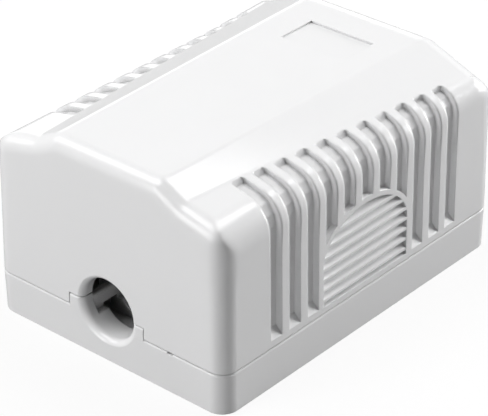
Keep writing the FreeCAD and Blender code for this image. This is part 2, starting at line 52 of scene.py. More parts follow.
# The CAD pieces' own sizes that details line up with, in metres.
SHELL_WALL = 2.4 * MM
FLOOR_HEIGHT = 2.0 * MM
CONTACT_SIZE = 0.4 * MM
LABEL_MIDDLE = (18.15 * MM, -0.7 * MM, 35.0 * MM)
CONTACT_NAMES = [f"jack_contact_{index}" for index in range(1, 9)]
CLIP_NAMES = [f"idc_clip_{index}" for index in range(1, 9)]
BLOCK_NAMES = ["idc_block_left", "idc_block_right"]

# Extra easing of the shells' edges. A band is two distances inward from the cover's box: the easing starts
# at the first and is full at the second. A reach is two distances from a point: it is full within the
# first and gone past the second. At the label a share of the usual easing is taken away.
CORNER_INSET = (1.5 * MM, 2.0 * MM, 8.5 * MM)
CORNER_REACH = (4.0 * MM, 7.0 * MM)
CORNER_EASING = 2.0 * MM
END_BAND = (4.5 * MM, 2.5 * MM)
END_TOP_BAND = (11.0 * MM, 8.0 * MM)
END_EASING = 0.7 * MM
BEND_BAND = (9.0 * MM, 6.0 * MM)
BEND_TOP_BAND = (13.0 * MM, 9.0 * MM)
BEND_EASING = 0.45 * MM
LABEL_REACH = (8.0 * MM, 8.5 * MM)
LABEL_SHARPENING = 0.8

# Painted shade inside the shells: its depth, how far it reaches, how shut in a place is where it is full
# and where it ends, and the bands in which it fades to the outer walls.
INSIDE_SHADE = 0.85
INSIDE_REACH = 15 * MM
INSIDE_CLOSED, INSIDE_OPEN = 0.12, 0.5
END_WALL_BAND = (2.2 * MM, 1.0 * MM)
SIDE_WALL_BAND = (3.0 * MM, 2.2 * MM)

# Mould marks. The ejector marks' middles are in millimetres.
EJECTOR_TAPER = 0.04
GATE_RADIUS, GATE_HEIGHT, GATE_TOP_SHARE = 0.55 * MM, 0.6 * MM, 1.5
BASE_EJECTORS = ((-27, 15), (-27, -15), (-6, 17.3), (-6, -17.3), (7, 17.3), (7, -17.3), (29, 0), (-14, 0))
COVER_EJECTORS = ((-24, 6), (-24, -6), (-8, 6), (-8, -6), (8, 6), (8, -6), (24, 6), (24, -6))

# Details on the board and the blocks. A track's colour is the lacquer's, times the gain, plus the lift. The
# last colours are the usual ones of the four wire pairs, and of the mates' white.
TRACK_RISE, PRINT_RISE = 0.012 * MM, 0.014 * MM
TRACK_GAIN, TRACK_LIFT = 2.2, 0.012
PRINT_THICKNESS = 0.02 * MM
PRINT_MARGIN = 0.35 * MM
PRINT_END_GAP = 0.3 * MM
JOINT_HEIGHT, JOINT_TOP_SHARE, JOINT_SIDES = 0.7 * MM, 0.42, 16
CLOTH_PITCH, PLY_PITCH = 0.7 * MM, 0.2 * MM
WIRE_MARK_RISE = 2.2 * MM
WIRE_COLOURS = ((0.02, 0.1, 0.5), (0.75, 0.22, 0.02), (0.02, 0.3, 0.06), (0.16, 0.06, 0.02))
WIRE_WHITE = (0.8, 0.8, 0.78)

# The stage. The floor glows where it is seen, gives little light back, and lies just under the box.
FLOOR_HALF = 3.0
FLOOR_DROP = 0.05 * MM
FLOOR_GLOW = 0.85
FLOOR_BOUNCE = (0.34, 0.34, 0.34, 1)
# What touches the floor, as the underside does, gets a little light from it.
TOUCHING = 0.2 * MM
TOUCHED_GLOW = 0.35
LAMP_TARGET = Vector((0, 0, 0.015))
LAMP_DISTANCE = 0.7
# Each lamp's azimuth and elevation in degrees, and its width and height in metres. Past each end stands
# a high and a low one, and two more stand behind for the highlights.
LAMPS = {
    "cable_end_high": ((-120, 60), (0.35, 0.35)),
    "cable_end_strip": ((-150, 40), (0.25, 0.55)),
    "cable_end_low": ((-108, 12), (0.35, 0.35)),
    "jack_end_high": ((60, 60), (0.35, 0.35)),
    "jack_end_low": ((65, 12), (0.35, 0.35)),
    "far_side": ((138, 11), (0.5, 0.2)),
}


# ---- node tree helpers ----

def add_node(tree, kind, inputs=None, **properties):
    """Adds a node, sets its properties, then sets or links its inputs by name or by number."""
    node = tree.nodes.new(kind)
    for key, value in properties.items():
        setattr(node, key, value)
    for key, value in (inputs or {}).items():
        if isinstance(value, bpy.types.NodeSocket):
            tree.links.new(value, node.inputs[key])
        else:
            node.inputs[key].default_value = value
    return node


def maths(tree, operation, a, b=0.0, c=0.0):
    """The result of one Math node."""
    return add_node(tree, "ShaderNodeMath", {0: a, 1: b, 2: c}, operation=operation).outputs[0]


def ramp(tree, value, low, high, at_low=0.0, at_high=1.0):
    """A value carried from one range to another and kept inside it."""
    inputs = {"Value": value, "From Min": low, "From Max": high, "To Min": at_low, "To Max": at_high}
    return add_node(tree, "ShaderNodeMapRange", inputs, clamp=True).outputs[0]


def mixed(tree, share, a, b):
    """One colour mixed into another."""
    return add_node(tree, "ShaderNodeMix", {0: share, 6: a, 7: b}, data_type="RGBA").outputs[2]


def dimmed(tree, colour, level):
    """A colour made lighter or darker by a level."""
    return add_node(tree, "ShaderNodeVectorMath", {0: colour, "Scale": level}, operation="SCALE").outputs[0]


def distance(tree, place, point):
    """How far a place lies from a point."""
    return add_node(tree, "ShaderNodeVectorMath", {0: place, 1: point}, operation="DISTANCE").outputs["Value"]


def split(tree, vector):
    """The X, Y and Z of a vector."""
    return add_node(tree, "ShaderNodeSeparateXYZ", {0: vector}).outputs


def noise(tree, vector, scale, detail=3.0, roughness=0.5):
    """A noise value about 0.5."""
    inputs = {"Vector": vector, "Scale": scale, "Detail": detail, "Roughness": roughness}
    return add_node(tree, "ShaderNodeTexNoise", inputs).outputs[0]


def shader_group(name, inputs, outputs):
    """An empty shader group with named sockets. Returns the tree, its inputs and its output node."""
    tree = bpy.data.node_groups.new(name, "ShaderNodeTree")
    for label, kind, value in inputs:
        socket = tree.interface.new_socket(label, in_out="INPUT", socket_type=kind)
        if value is not None:
            socket.default_value = value
    for label, kind in outputs:
        tree.interface.new_socket(label, in_out="OUTPUT", socket_type=kind)
    given = tree.nodes.new("NodeGroupInput")
    result = tree.nodes.new("NodeGroupOutput")
    return tree, given.outputs, result


def placed(tree, group, inputs):
    """A shader group placed in a material with its own values."""
    return add_node(tree, "ShaderNodeGroup", inputs, node_tree=bpy.data.node_groups[group]).outputs


# ---- geometry node helpers ----

def geometry_tree(name, inputs):
    """An empty geometry tree with named inputs. Returns the tree, its inputs and its output node."""
    tree = bpy.data.node_groups.new(name, "GeometryNodeTree")
    tree.interface.new_socket("Geometry", in_out="INPUT", socket_type="NodeSocketGeometry")
    for label, kind, value in inputs:
        socket = tree.interface.new_socket(label, in_out="INPUT", socket_type=kind)
        if value is not None:
            socket.default_value = value
    tree.interface.new_socket("Geometry", in_out="OUTPUT", socket_type="NodeSocketGeometry")
    given = tree.nodes.new("NodeGroupInput")
    result = tree.nodes.new("NodeGroupOutput")
    return tree, given.outputs, result


def end_tree(tree, given, result, geometry):
    """Makes what the tree has built real and gives it its material."""
    real = add_node(tree, "GeometryNodeRealizeInstances", {0: geometry}).outputs[0]
    painted = add_node(tree, "GeometryNodeSetMaterial", {"Geometry": real, "Material": given["Material"]})
    tree.links.new(painted.outputs[0], result.inputs["Geometry"])


def make_round_marks_tree():
    """A low round boss, straight or tapered, on each point."""
    inputs = [("Radius", "NodeSocketFloat", 1.5 * MM), ("Top Share", "NodeSocketFloat", 1.0),
              ("Height", "NodeSocketFloat", 0.05 * MM), ("Tilt", "NodeSocketVector", (0, 0, 0)),
              ("Sides", "NodeSocketInt", 24), ("Material", "NodeSocketMaterial", None)]
    tree, given, result = geometry_tree("round_marks", inputs)
    top = maths(tree, "MULTIPLY", given["Radius"], given["Top Share"])
    sizes = {"Vertices": given["Sides"], "Radius Top": top, "Radius Bottom": given["Radius"],
             "Depth": given["Height"]}
    boss = add_node(tree, "GeometryNodeMeshCone", sizes, fill_type="NGON").outputs[0]
    places = {"Points": given["Geometry"], "Instance": boss, "Rotation": given["Tilt"]}
    spread = add_node(tree, "GeometryNodeInstanceOnPoints", places)
    end_tree(tree, given, result, spread.outputs[0])


def make_square_marks_tree():
    """A thin rectangular mark on each point, in the colour that the point carries."""
    inputs = [("Size", "NodeSocketVector", (1, 1, 1)), ("Material", "NodeSocketMaterial", None)]
    tree, given, result = geometry_tree("square_marks", inputs)
    tile = add_node(tree, "GeometryNodeMeshCube", {"Size": given["Size"]}).outputs[0]
    spread = add_node(tree, "GeometryNodeInstanceOnPoints", {"Points": given["Geometry"], "Instance": tile})
    end_tree(tree, given, result, spread.outputs[0])


def make_flat_lines_tree():
    """A flat strip of one width and thickness along each line, with a slightly narrower top."""
    inputs = [("Width", "NodeSocketFloat", 0.4 * MM), ("Thickness", "NodeSocketFloat", 0.035 * MM),
              ("Material", "NodeSocketMaterial", None)]
    tree, given, result = geometry_tree("flat_lines", inputs)
    lines = add_node(tree, "GeometryNodeMeshToCurve", {0: given["Geometry"]})
    upright = add_node(tree, "GeometryNodeSetCurveNormal", {"Curve": lines.outputs[0]})
    top_width = maths(tree, "MULTIPLY", given["Width"], 0.85)
    sizes = {"Bottom Width": given["Width"], "Top Width": top_width, "Height": given["Thickness"],
             "Offset": 0.0}
    profile = add_node(tree, "GeometryNodeCurvePrimitiveQuadrilateral", sizes, mode="TRAPEZOID").outputs[0]
    sweep = {"Curve": upright.outputs[0], "Profile Curve": profile, "Fill Caps": True}
    strip = add_node(tree, "GeometryNodeCurveToMesh", sweep)
    end_tree(tree, given, result, strip.outputs[0])


def make_geometry_trees():
    make_round_marks_tree()
    make_square_marks_tree()
    make_flat_lines_tree()


def grown_piece(name, tree_name, seed, material, body, slot, **values):
    """Runs a geometry tree on a seed mesh and keeps the result as a plain piece on one body."""
    tree = bpy.data.node_groups[tree_name]
    seed_object = bpy.data.objects.new(name + "_seed", seed)
    bpy.context.scene.collection.objects.link(seed_object)
    modifier = seed_object.modifiers.new("grow", "NODES")
    modifier.node_group = tree
    values["Material"] = material
    for item in tree.interface.items_tree:
        if item.item_type == "SOCKET" and item.in_out == "INPUT":
            key = item.name.replace(" ", "_")
            if key in values:
                modifier[item.identifier] = values[key]
    evaluated = seed_object.evaluated_get(bpy.context.evaluated_depsgraph_get())
    mesh = bpy.data.meshes.new_from_object(evaluated)
    mesh.name = name
    seed_object.modifiers.remove(modifier)
    bpy.data.objects.remove(seed_object)
    if len(mesh.polygons) == 0:
        raise RuntimeError(name + " came out empty")
    piece = bpy.data.objects.new(name, mesh)
    bpy.context.scene.collection.objects.link(piece)
    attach(piece, body)
    return piece


def seed_points(name, points, colours=None):
    """A mesh of loose points, each with a colour if one is given."""
    mesh = bpy.data.meshes.new(name)
    mesh.from_pydata(points, [], [])
    if colours:
        layer = mesh.attributes.new("mark_colour", "FLOAT_COLOR", "POINT")
        for item, colour in zip(layer.data, colours):
            item.color = (*colour, 1)
    return mesh


def seed_lines(name, lines):
    """A mesh of open or closed runs of straight edges; a closed run ends on its first point."""
    points, edges = [], []
    for line in lines:
        start = len(points)
        closed = line[0] == line[-1]
        corners = line[:-1] if closed else line
        points += corners
        edges += [(start + i, start + i + 1) for i in range(len(corners) - 1)]
        if closed:
            edges.append((len(points) - 1, start))
    mesh = bpy.data.meshes.new(name)
    mesh.from_pydata(points, edges, [])
    return mesh


# ---- shared effects ----

def drifted(tree, wander, amount, level):
    """A level that a noise value carries up and down by an amount."""
    return maths(tree, "MULTIPLY_ADD", maths(tree, "SUBTRACT", wander, 0.5), amount, level)


def make_moulded_skin():
    """The fine skin that a sparked mould leaves, with drifts of roughness and tint. The grain is in mm."""
    inputs = [("Vector", "NodeSocketVector", None), ("Colour", "NodeSocketColor", (0.8, 0.8, 0.8, 1)),
              ("Grain Size", "NodeSocketFloat", 0.25), ("Roughness", "NodeSocketFloat", 0.35),
              ("Roughness Drift", "NodeSocketFloat", 0.05), ("Grain Roughness", "NodeSocketFloat", 0.06),
              ("Tint Drift", "NodeSocketFloat", 0.02)]
    outputs = [("Colour", "NodeSocketColor"), ("Roughness", "NodeSocketFloat"),
               ("Height", "NodeSocketFloat")]
    tree, given, result = shader_group("moulded_skin", inputs, outputs)
    per_grain = maths(tree, "DIVIDE", 1 / MM, given["Grain Size"])
    grain = noise(tree, given["Vector"], scale=per_grain, detail=2.0, roughness=0.6)
    flow = noise(tree, given["Vector"], scale=90.0, detail=2.0, roughness=0.4)
    tint = noise(tree, given["Vector"], scale=35.0, detail=1.0, roughness=0.4)
    rough = drifted(tree, flow, given["Roughness Drift"], given["Roughness"])
    rough = drifted(tree, grain, given["Grain Roughness"], rough)
    level = drifted(tree, tint, given["Tint Drift"], 1.0)
    tree.links.new(dimmed(tree, given["Colour"], level), result.inputs["Colour"])
    tree.links.new(rough, result.inputs["Roughness"])
    tree.links.new(grain, result.inputs["Height"])


def make_soft_edge():
    """The normal of a surface whose sharp edges are eased, as a mould and a file leave them."""
    inputs = [("Radius", "NodeSocketFloat", 0.15 * MM)]
    tree, given, result = shader_group("soft_edge", inputs, [("Normal", "NodeSocketVector")])
    eased = add_node(tree, "ShaderNodeBevel", {"Radius": given["Radius"]}, samples=6)
    tree.links.new(eased.outputs[0], result.inputs["Normal"])


def make_resting_dust():
    """A thin film of dust on what faces up, gathered in soft patches."""
    inputs = [("Vector", "NodeSocketVector", None), ("Colour", "NodeSocketColor", (0.8, 0.8, 0.8, 1)),
              ("Dust", "NodeSocketColor", (0.6, 0.58, 0.55, 1)), ("Amount", "NodeSocketFloat", 0.03)]
    tree, given, result = shader_group("resting_dust", inputs, [("Colour", "NodeSocketColor")])
    facing = split(tree, add_node(tree, "ShaderNodeNewGeometry").outputs["Normal"])
    upward = ramp(tree, facing["Z"], 0.2, 1.0)
    cloud = noise(tree, given["Vector"], scale=160.0, detail=4.0, roughness=0.6)
    patches = maths(tree, "MULTIPLY", upward, ramp(tree, cloud, 0.35, 0.75))
    mask = maths(tree, "MULTIPLY", patches, given["Amount"])
    tree.links.new(mixed(tree, mask, given["Colour"], given["Dust"]), result.inputs["Colour"])


def make_painted_inner_shade():
    """Painted shade: 1 in the open and less in narrow gaps and inner corners, to darken the colour there."""
    inputs = [("Reach", "NodeSocketFloat", 1.5 * MM), ("Closed", "NodeSocketFloat", 0.0),
              ("Open", "NodeSocketFloat", 1.0), ("Depth", "NodeSocketFloat", 0.3)]
    tree, given, result = shader_group("inner_corners", inputs, [("Shade", "NodeSocketFloat")])
    seen_share = add_node(tree, "ShaderNodeAmbientOcclusion", {"Distance": given["Reach"]}, samples=6)
    darkest = maths(tree, "SUBTRACT", 1.0, given["Depth"])
    shade = ramp(tree, seen_share.outputs["AO"], given["Closed"], given["Open"], darkest, 1.0)
    tree.links.new(shade, result.inputs["Shade"])


def make_brushed_metal():
    """Fine scratches that lie square to Y, with faint tarnish."""
    inputs = [("Vector", "NodeSocketVector", None), ("Colour", "NodeSocketColor", (0.8, 0.8, 0.8, 1)),
              ("Tarnish", "NodeSocketColor", (0.5, 0.45, 0.35, 1)),
              ("Roughness", "NodeSocketFloat", 0.25), ("Scratch Roughness", "NodeSocketFloat", 0.18)]
    outputs = [("Colour", "NodeSocketColor"), ("Roughness", "NodeSocketFloat"),
               ("Height", "NodeSocketFloat")]
    tree, given, result = shader_group("brushed_metal", inputs, outputs)
    stretched = add_node(tree, "ShaderNodeMapping", {"Vector": given["Vector"], "Scale": (1.0, 12.0, 1.0)})
    scratch = noise(tree, stretched.outputs[0], scale=2500.0, detail=3.0, roughness=0.6)
    cloud = noise(tree, given["Vector"], scale=700.0, detail=3.0, roughness=0.6)
    stain = ramp(tree, cloud, 0.45, 0.8, 0.0, 0.35)
    rough = maths(tree, "MULTIPLY_ADD", scratch, given["Scratch Roughness"], given["Roughness"])
    tree.links.new(mixed(tree, stain, given["Colour"], given["Tarnish"]), result.inputs["Colour"])
    tree.links.new(rough, result.inputs["Roughness"])
    tree.links.new(scratch, result.inputs["Height"])


def make_shared_effects():
    make_moulded_skin()
    make_soft_edge()
    make_resting_dust()
    make_painted_inner_shade()
    make_brushed_metal()


# ---- finishes ----

def new_material(name, **constants):
    """An empty material. Returns it with its tree, its Principled BSDF and its Object coordinates."""
    material = bpy.data.materials.new(name)
    material.use_nodes = True
    tree = material.node_tree
    shader = tree.nodes["Principled BSDF"]
    for key, value in constants.items():
        shader.inputs[key.replace("_", " ")].default_value = value
    place = tree.nodes.new("ShaderNodeTexCoord").outputs["Object"]
    return material, tree, shader, place


def near_edge(tree, value, edge, band, most=1.0):
    """Nothing up to a band that lies inward from an edge, and the most from the band's end onwards."""
    return ramp(tree, value, edge - band[0], edge - band[1], 0.0, most)


def shell_edge_radius(tree, place, edge_radius):
    """The easing of the shells' edges: most at top corners and ends, less in bends, least at the label."""
    axes = split(tree, place)
    along = maths(tree, "ABSOLUTE", axes["X"])
    across = maths(tree, "ABSOLUTE", axes["Y"])
    folded = add_node(tree, "ShaderNodeCombineXYZ", {0: along, 1: across, 2: axes["Z"]}).outputs[0]
    end, side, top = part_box("cover")[1]
    corner = (end - CORNER_INSET[0], side - CORNER_INSET[1], top - CORNER_INSET[2])
    at_corner = ramp(tree, distance(tree, folded, corner), *CORNER_REACH, CORNER_EASING, 0.0)
    at_end = maths(tree, "MULTIPLY", near_edge(tree, along, end, END_BAND),
                   near_edge(tree, axes["Z"], top, END_TOP_BAND, END_EASING))
    at_bend = maths(tree, "MULTIPLY", near_edge(tree, across, side, BEND_BAND),
                    near_edge(tree, axes["Z"], top, BEND_TOP_BAND, BEND_EASING))
    sharper = -LABEL_SHARPENING * edge_radius
    at_label = ramp(tree, distance(tree, place, LABEL_MIDDLE), *LABEL_REACH, sharper, 0.0)
    extra = maths(tree, "MAXIMUM", maths(tree, "MAXIMUM", at_corner, at_bend), at_end)
    return maths(tree, "ADD", maths(tree, "ADD", extra, edge_radius), at_label)


def shell_inside(tree, place):
    """Settings of the painted shade in inner corners: strong inside the shells, and none on their outer
    walls.
    """
    axes = split(tree, place)
    end, side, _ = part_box("cover")[1]
    at_end = near_edge(tree, maths(tree, "ABSOLUTE", axes["X"]), end, END_WALL_BAND)
    at_side = near_edge(tree, maths(tree, "ABSOLUTE", axes["Y"]), side, SIDE_WALL_BAND)
    outer = maths(tree, "MAXIMUM", at_end, at_side)
    depth = ramp(tree, outer, 0.0, 1.0, INSIDE_SHADE, 0.0)
    return {"Reach": INSIDE_REACH, "Closed": INSIDE_CLOSED, "Open": INSIDE_OPEN, "Depth": depth}


def moulded_plastic(name, colour, grain_size, grain_depth, roughness, edge_radius, corners=None, **constants):
    """A moulded plastic with a fine skin, eased edges, painted shade in inner corners and a trace of dust.

    edge_radius may be a value or a function of the tree and the place. corners, if given, is such a
    function too, and returns the settings of the painted shade."""
    material, tree, shader, place = new_material(name, **constants)
    if callable(edge_radius):
        edge_radius = edge_radius(tree, place)
    corner_settings = corners(tree, place) if corners else {}
    skin = placed(tree, "moulded_skin", {"Vector": place, "Colour": (*colour, 1), "Grain Size": grain_size,
                                         "Roughness": roughness})
    dusted = placed(tree, "resting_dust", {"Vector": place, "Colour": skin["Colour"]})
    eased = placed(tree, "soft_edge", {"Radius": edge_radius})
    bump = add_node(tree, "ShaderNodeBump", {"Height": skin["Height"], "Distance": grain_depth,
                                             "Normal": eased["Normal"]})
    # Painted shade that darkens the base colour in inner corners and narrow gaps.
    shade = placed(tree, "inner_corners", corner_settings)["Shade"]
    tree.links.new(dimmed(tree, dusted["Colour"], shade), shader.inputs["Base Color"])
    tree.links.new(skin["Roughness"], shader.inputs["Roughness"])
    tree.links.new(bump.outputs[0], shader.inputs["Normal"])
    return material


def plated_metal(name, colour, tarnish, roughness):
    """A thin plated metal with fine scratches."""
    material, tree, shader, place = new_material(name, Metallic=1.0)
    brushed = placed(tree, "brushed_metal", {"Vector": place, "Colour": (*colour, 1),
                                             "Tarnish": (*tarnish, 1), "Roughness": roughness})
    bump = add_node(tree, "ShaderNodeBump", {"Height": brushed["Height"], "Distance": 0.004 * MM})
    tree.links.new(brushed["Colour"], shader.inputs["Base Color"])
    tree.links.new(brushed["Roughness"], shader.inputs["Roughness"])
    tree.links.new(bump.outputs[0], shader.inputs["Normal"])
    return material


def board_laminate(name, mask, edge):
    """Green lacquer over glass cloth on the faces of the board, and bare laminate at its cut edges."""
    material, tree, shader, place = new_material(name, Roughness=0.3, Coat_Weight=0.3, Coat_Roughness=0.1)
    axes = split(tree, place)
    turns = 2 * math.pi / CLOTH_PITCH
    warp = maths(tree, "SINE", maths(tree, "MULTIPLY", axes["X"], turns))
    weft = maths(tree, "SINE", maths(tree, "MULTIPLY", axes["Y"], turns))
    cloth = maths(tree, "MULTIPLY_ADD", maths(tree, "ADD", warp, weft), 0.25, 0.5)
    up = split(tree, add_node(tree, "ShaderNodeNewGeometry").outputs["Normal"])["Z"]
    on_face = ramp(tree, maths(tree, "ABSOLUTE", up), 0.4, 0.6)
    pool = noise(tree, place, scale=260.0)
    shade = maths(tree, "MULTIPLY_ADD", maths(tree, "ADD", pool, cloth), 0.25, 0.75)
    lacquer = dimmed(tree, mask, shade)
    plies = maths(tree, "SINE", maths(tree, "MULTIPLY", axes["Z"], 2 * math.pi / PLY_PITCH))
    cut = mixed(tree, ramp(tree, plies, -1.0, 1.0), (*[0.8 * part for part in edge], 1), (*edge, 1))
    tree.links.new(mixed(tree, on_face, cut, lacquer), shader.inputs["Base Color"])
    tree.links.new(ramp(tree, on_face, 0.0, 1.0, 0.75, 0.28), shader.inputs["Roughness"])
    bump = add_node(tree, "ShaderNodeBump", {"Height": cloth, "Distance": 0.008 * MM, "Strength": 0.6})
    tree.links.new(bump.outputs[0], shader.inputs["Normal"])
    return material


def lacquered_copper(name, colour):
    """A copper track under green lacquer: paler than the board, with the lacquer's gloss."""
    material, tree, shader, place = new_material(name, Coat_Weight=0.3, Coat_Roughness=0.1)
    pool = noise(tree, place, scale=420.0)
    tint = dimmed(tree, colour, maths(tree, "MULTIPLY_ADD", pool, 0.3, 0.85))
    tree.links.new(tint, shader.inputs["Base Color"])
    tree.links.new(ramp(tree, pool, 0.3, 0.7, 0.24, 0.36), shader.inputs["Roughness"])
    return material


def printed_ink(name):
    """Ink in the colour that each mark carries, with a slightly uneven lay."""
    material, tree, shader, place = new_material(name, Roughness=0.55)
    ink = add_node(tree, "ShaderNodeAttribute", attribute_name="mark_colour").outputs["Color"]
    lay = maths(tree, "MULTIPLY_ADD", noise(tree, place, scale=1800.0, detail=2.0), 0.2, 0.9)
    tree.links.new(dimmed(tree, ink, lay), shader.inputs["Base Color"])
    tree.links.new(ramp(tree, lay, 0.9, 1.1, 0.5, 0.62), shader.inputs["Roughness"])
    return material


def dress(material, *names):
    """Gives CAD nodes a finish in place of the plain one."""
    for name in names:
        for slot in NODES[name].material_slots:
            slot.material = material


# ---- what a user would change ----

class ShellSettings(bpy.types.PropertyGroup):
    """The plastic of the cover and base."""
    colour: FloatVectorProperty(name="Plastic colour", description="Colour of the cover and base",
                                subtype="COLOR", size=3, default=(0.84, 0.84, 0.845), min=0, max=1)
    roughness: FloatProperty(name="Roughness", description="Roughness of the moulded skin",
                             default=0.16, min=0, max=1, subtype="FACTOR")
    edge_radius: FloatProperty(name="Edge radius", description="How far sharp edges are eased",
                               default=0.2 * MM, min=0, unit="LENGTH", subtype="DISTANCE", precision=5)


class MouldMarkSettings(bpy.types.PropertyGroup):
    """The round marks that ejector pins leave inside the shells."""
    radius: FloatProperty(name="Ejector radius", description="Radius of an ejector pin's mark",
                          default=1.5 * MM, min=0, unit="LENGTH", subtype="DISTANCE", precision=5)
    height: FloatProperty(name="Ejector step", description="How far a mark stands above its wall",
                          default=0.06 * MM, min=0, unit="LENGTH", subtype="DISTANCE", precision=5)


class BoardSettings(bpy.types.PropertyGroup):
    """The circuit board's lacquer, tracks and print."""
    mask: FloatVectorProperty(name="Lacquer colour", description="Colour of the lacquer on the board",
                              subtype="COLOR", size=3, default=(0.012, 0.1, 0.035), min=0, max=1)
    track_width: FloatProperty(name="Track width", description="Width of a copper track",
                               default=0.5 * MM, min=0, unit="LENGTH", subtype="DISTANCE", precision=5)
    print_width: FloatProperty(name="Print width", description="Width of a printed line",
                               default=0.2 * MM, min=0, unit="LENGTH", subtype="DISTANCE", precision=5)
    joint_radius: FloatProperty(name="Joint radius", description="Radius of a soldered joint at the board",
                                default=0.8 * MM, min=0, unit="LENGTH", subtype="DISTANCE", precision=5)


class ConnectorSettings(bpy.types.PropertyGroup):
    """The modular jack and the punch-down blocks."""
    jack_colour: FloatVectorProperty(name="Jack colour", description="Colour of the jack's body",
                                     subtype="COLOR", size=3, default=(0.02, 0.02, 0.022), min=0, max=1)
    block_colour: FloatVectorProperty(name="Block colour", description="Colour of the punch-down blocks",
                                      subtype="COLOR", size=3, default=(0.8, 0.8, 0.77), min=0, max=1)
    mark_size: FloatVectorProperty(name="Wire mark", description="Length, depth and height of a wire's mark",
                                   subtype="XYZ", unit="LENGTH", size=3,
                                   default=(2.4 * MM, 0.04 * MM, 0.9 * MM))


class StageSettings(bpy.types.PropertyGroup):
    """The camera, lamps, floor and backdrop."""
    camera_place: FloatVectorProperty(name="Camera place", description="Where the camera stands",
                                      subtype="XYZ", unit="LENGTH", size=3,
                                      default=(-0.24153, -0.20853, 0.20224))
    azimuth: FloatProperty(name="Azimuth", description="Direction from which the camera looks",
                           default=math.radians(49.044), subtype="ANGLE", unit="ROTATION")
    elevation: FloatProperty(name="Elevation", description="Height of the camera above the horizon",
                             default=math.radians(30.798), subtype="ANGLE", unit="ROTATION")
    roll: FloatProperty(name="Roll", description="Tilt of the camera about its view",
                        default=math.radians(-0.187), subtype="ANGLE", unit="ROTATION")
    lens: FloatProperty(name="Lens", description="Focal length on a 36 mm wide sensor",
                        default=172.76, min=1, subtype="DISTANCE_CAMERA")
    cable_end_high: FloatProperty(name="Cable end, high", default=1.9, min=0, unit="POWER",
                                  description="Power of the high lamp past the cable end")
    cable_end_strip: FloatProperty(name="Cable end, strip", default=1.6, min=0, unit="POWER",
                                   description="Power of the lamp that lights the cable end's top edge")
    cable_end_low: FloatProperty(name="Cable end, low", default=1.9, min=0, unit="POWER",
                                 description="Power of the low lamp past the cable end")
    jack_end_high: FloatProperty(name="Jack end, high", default=2.2, min=0, unit="POWER",
                                 description="Power of the high lamp past the jack end")
    jack_end_low: FloatProperty(name="Jack end, low", default=4.3, min=0, unit="POWER",
                                description="Power of the low lamp past the jack end")
    far_side: FloatProperty(name="Far side", default=0.6, min=0, unit="POWER",
                            description="Power of the lamp behind the box")
    room_light: FloatProperty(name="Room light", description="Strength of the even light from all round",
                              default=0.03, min=0)
    mirrored_room: FloatProperty(name="Mirrored room", description="Strength of the room in reflections",
                                 default=0.4, min=0)


# ---- operators ----

class JACKBOX_OT_shells(bpy.types.Operator):
    """Finish the cover and the base in white moulded plastic"""
    bl_idname = "jackbox.shells"
    bl_label = "Cover and base"
    bl_options = {"REGISTER", "UNDO"}

    def execute(self, context):
        shell = context.scene.jackbox_shell
        # The cover and base get painted shade in inner corners, strongest deep inside the shells.
        plastic = moulded_plastic("white_case_plastic", shell.colour, grain_size=0.16, grain_depth=0.006 * MM,
                                  roughness=shell.roughness, corners=shell_inside, IOR=1.5,
                                  edge_radius=partial(shell_edge_radius, edge_radius=shell.edge_radius))
        dress(plastic, "cover", "base")
        return {"FINISHED"}


class JACKBOX_OT_mould_marks(bpy.types.Operator):
    """Add the ejector pin marks and the gate mark inside the base and the cover"""
    bl_idname = "jackbox.mould_marks"
    bl_label = "Mould marks"
    bl_options = {"REGISTER", "UNDO"}

    def execute(self, context):
        marks = context.scene.jackbox_marks
        plastic = bpy.data.materials["white_case_plastic"]
        floor = FLOOR_HEIGHT + marks.height / 2
        on_floor = [(x * MM, y * MM, floor) for x, y in BASE_EJECTORS]
        grown_piece("base_ejector_marks", "round_marks", seed_points("base_ejectors", on_floor), plastic,
                    "box", "base_shell", Radius=marks.radius, Height=marks.height,
                    Top_Share=1 - EJECTOR_TAPER)
        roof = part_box("cover")[1][2] - SHELL_WALL
        on_roof = [(x * MM, y * MM, roof - marks.height / 2) for x, y in COVER_EJECTORS]
        grown_piece("cover_ejector_marks", "round_marks", seed_points("cover_ejectors", on_roof), plastic,
                    "lid", "cover_shell", Radius=marks.radius, Height=marks.height,
                    Top_Share=1 + EJECTOR_TAPER)
        gate = [(0.0, 0.0, roof - GATE_HEIGHT / 2)]
        grown_piece("cover_gate_mark", "round_marks", seed_points("cover_gate", gate), plastic,
                    "lid", "cover_shell", Radius=GATE_RADIUS, Height=GATE_HEIGHT, Top_Share=GATE_TOP_SHARE)
        return {"FINISHED"}


def middle(name):
    """The middle of a CAD node's box."""
    low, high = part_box(name)
    return [(a + b) / 2 for a, b in zip(low, high)]


def contact_pins():
    """Where the eight contact tails pass through the board, in order."""
    return [(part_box(name)[0][0] + CONTACT_SIZE / 2, middle(name)[1]) for name in CONTACT_NAMES]


def clip_pins():
    """Where the eight clip pins pass through the board: four on the +Y side, then four on the -Y side."""
    return [tuple(middle(name)[:2]) for name in CLIP_NAMES]


def track_runs(height):
    """Tracks that leave the jack straight and fan out to the clips at 45 degrees without crossing."""
    runs = []
    for side in (1, -1):
        pins = [pin for pin in contact_pins() if pin[1] * side > 0]
        pins.sort(key=lambda pin: abs(pin[1]))
        clips = sorted(pin for pin in clip_pins() if pin[1] * side > 0)
        for (pin_x, pin_y), (clip_x, clip_y) in zip(pins, clips):
            bend_x = clip_x + abs(clip_y - pin_y)
            runs.append([(pin_x, pin_y, height), (bend_x, pin_y, height), (clip_x, clip_y, height)])
    return runs


def outline(name, margin, height):
    """A closed rectangle round a node's foot."""
    low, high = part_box(name)
    x0, x1, y0, y1 = low[0] - margin, high[0] + margin, low[1] - margin, high[1] + margin
    return [(x0, y0, height), (x1, y0, height), (x1, y1, height), (x0, y1, height), (x0, y0, height)]


